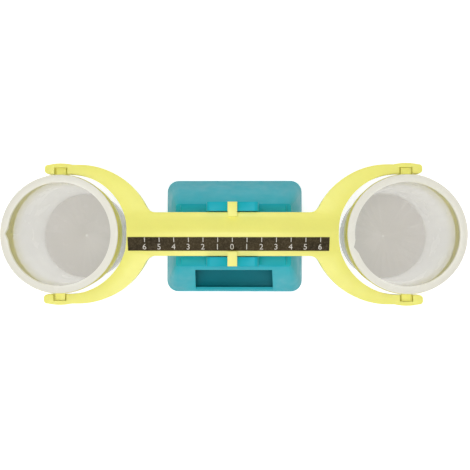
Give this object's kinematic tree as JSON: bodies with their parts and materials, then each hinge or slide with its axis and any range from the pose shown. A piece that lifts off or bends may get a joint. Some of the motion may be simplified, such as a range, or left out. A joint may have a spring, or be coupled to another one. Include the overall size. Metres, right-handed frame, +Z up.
{
  "type": "bucket balance",
  "caption": "Bucket balance: a beam on knife edges over a hollow base, with a removable clear bucket hanging in a yoke at each end and a sliding zero weight.",
  "frame": {"origin": "centre of the footprint, on the surface the feet stand on, straight under the fulcrum", "axes": "+X along the beam to the right bucket, +Y to the back, +Z up"},
  "size_m": [0.401, 0.1226, 0.1105],
  "materials": {
    "teal_plastic": "semi-gloss teal ABS",
    "dark_teal_plastic": "dark teal plastic",
    "yellow_plastic": "semi-gloss pale yellow ABS",
    "clear_plastic": "slightly milky clear plastic",
    "scale_print": "printed dark film",
    "foot_rubber": "matt rubber",
    "screw_steel": "zinc plated"
  },
  "bodies": {
    "base": {"base_shell": "teal_plastic", "base_plate": "dark_teal_plastic", "storage_bin": "dark_teal_plastic", "foot_front_left": "foot_rubber", "foot_front_right": "foot_rubber", "foot_back_left": "foot_rubber", "foot_back_right": "foot_rubber", "base_screws": "screw_steel"},
    "beam": {"beam": "yellow_plastic", "fulcrum_front": "yellow_plastic", "fulcrum_back": "yellow_plastic", "scale_strip": "scale_print"},
    "slider": {"zero_slider": "teal_plastic"},
    "hoop_left": {"hoop_left": "yellow_plastic"},
    "hoop_right": {"hoop_right": "yellow_plastic"},
    "bucket_left": {"bucket_left": "clear_plastic"},
    "bucket_right": {"bucket_right": "clear_plastic"}
  },
  "joints": [
    {"name": "beam_tilt", "type": "hinge", "parent": "base", "child": "beam", "pos_m": [0, 0, 0.106], "axis": [0, 1, 0], "range_deg": [-8, 8]},
    {"name": "hoop_left_swing", "type": "hinge", "parent": "beam", "child": "hoop_left", "pos_m": [-0.149, 0, 0.1005], "axis": [0, 1, 0], "range_deg": [-15, 15]},
    {"name": "hoop_right_swing", "type": "hinge", "parent": "beam", "child": "hoop_right", "pos_m": [0.149, 0, 0.1005], "axis": [0, 1, 0], "range_deg": [-15, 15]},
    {"name": "bucket_left_lift", "type": "slide", "parent": "hoop_left", "child": "bucket_left", "axis": [0, 0, 1], "range_m": [0, 0.1]},
    {"name": "bucket_right_lift", "type": "slide", "parent": "hoop_right", "child": "bucket_right", "axis": [0, 0, 1], "range_m": [0, 0.1]},
    {"name": "zero_slide", "type": "slide", "parent": "beam", "child": "slider", "axis": [1, 0, 0], "range_m": [-0.075, 0.075]}
  ]
}
